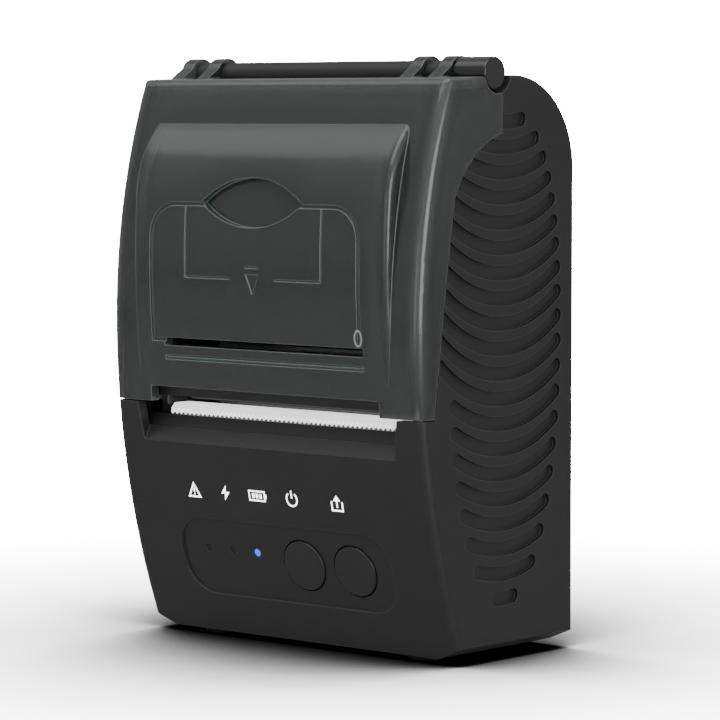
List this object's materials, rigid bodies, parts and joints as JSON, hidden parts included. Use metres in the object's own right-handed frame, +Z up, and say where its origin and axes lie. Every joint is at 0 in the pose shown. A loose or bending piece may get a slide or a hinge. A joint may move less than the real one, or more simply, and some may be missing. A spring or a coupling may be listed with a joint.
{
  "type": "portable receipt printer",
  "caption": "Hand-size thermal receipt printer with a smoky clear hinged cover, paper tub, print mechanism, round buttons and a rear battery door.",
  "frame": {"origin": "centre of the footprint on the surface that the printer stands on", "axes": "+Z up, the front with the cover and the buttons faces -Y, +X to the right seen from the front"},
  "size_m": [0.078, 0.0468, 0.1125],
  "materials": {
    "case_plastic": "fine matt moulded black",
    "battery_wrap": "shrink sleeve",
    "frame_steel": "plated sheet",
    "tear_steel": "stamped stainless sheet",
    "motor_steel": "plated can",
    "gear_nylon": "moulded natural nylon",
    "shaft_steel": "turned steel",
    "sink_aluminium": "bare aluminium",
    "ceramic": "glazed ceramic",
    "board": "green solder mask",
    "switch": "black moulding",
    "led": "clear chip lens",
    "clear_pipe": "clear polycarbonate",
    "button_plastic": "matt moulded black",
    "screw_steel": "blackened steel",
    "foot_rubber": "matt rubber",
    "pin_plastic": "black acetal",
    "smoky_clear": "smoky clear polycarbonate, polished",
    "liner_plastic": "satin moulded black",
    "roller_rubber": "ground rubber"
  },
  "bodies": {
    "case": {"main_case": "case_plastic", "rear_shell": "case_plastic", "battery_pack": "battery_wrap", "paper_tub": "case_plastic", "mechanism_frame": "frame_steel", "tear_bar": "tear_steel", "feed_motor": "motor_steel", "idler_axle": "shaft_steel", "head_spring": "shaft_steel", "main_board": "board", "button_board": "board", "tact_switches": "switch", "indicator_leds": "led", "light_pipes": "clear_pipe", "charge_socket": "shaft_steel", "case_screws": "screw_steel", "rubber_feet": "foot_rubber", "hinge_pin": "pin_plastic"},
    "cover": {"cover_shell": "smoky_clear", "cover_liner": "liner_plastic", "platen_bushings": "gear_nylon"},
    "platen": {"platen_shaft": "shaft_steel", "platen_rubber": "roller_rubber", "platen_gear": "gear_nylon"},
    "idler": {"idler_gear": "gear_nylon"},
    "pinion": {"motor_pinion": "gear_nylon"},
    "print_head": {"heat_sink": "sink_aluminium", "head_ceramic": "ceramic"},
    "power_button": {"power_button": "button_plastic"},
    "feed_button": {"feed_button": "button_plastic"},
    "battery_door": {"battery_door": "case_plastic"}
  },
  "joints": [
    {"name": "cover_hinge", "type": "hinge", "parent": "case", "child": "cover", "pos_m": [0, 0.0002, 0.1092], "axis": [-1, 0, 0], "range_deg": [0, 100]},
    {"name": "platen_spin", "type": "hinge", "parent": "cover", "child": "platen", "pos_m": [0, -0.0103, 0.0507], "axis": [1, 0, 0], "continuous": true},
    {"name": "idler_spin", "type": "hinge", "parent": "case", "child": "idler", "pos_m": [-0.0355, 0.00053, 0.04876], "axis": [1, 0, 0], "continuous": true},
    {"name": "pinion_spin", "type": "hinge", "parent": "case", "child": "pinion", "pos_m": [-0.0355, 0.00909, 0.05154], "axis": [1, 0, 0], "continuous": true},
    {"name": "head_pivot", "type": "hinge", "parent": "case", "child": "print_head", "pos_m": [0, -0.0035, 0.0442], "axis": [-1, 0, 0], "range_deg": [0, 2], "stiffness_Nm_per_rad": 4, "springref_deg": -2.86},
    {"name": "power_press", "type": "slide", "parent": "case", "child": "power_button", "axis": [0, 0.9592, 0.2827], "range_m": [0, 0.0004], "stiffness_N_per_m": 1500, "springref_m": -0.0004},
    {"name": "feed_press", "type": "slide", "parent": "case", "child": "feed_button", "axis": [0, 0.9592, 0.2827], "range_m": [0, 0.0004], "stiffness_N_per_m": 1500, "springref_m": -0.0004},
    {"name": "door_hinge", "type": "hinge", "parent": "case", "child": "battery_door", "pos_m": [0, 0.02255, 0.0089], "axis": [-1, 0, 0], "range_deg": [0, 100]}
  ],
  "couplings": [
    {"joint": "idler_spin", "follows": "platen_spin", "ratio": -0.83333},
    {"joint": "pinion_spin", "follows": "platen_spin", "ratio": 1.6667}
  ]
}
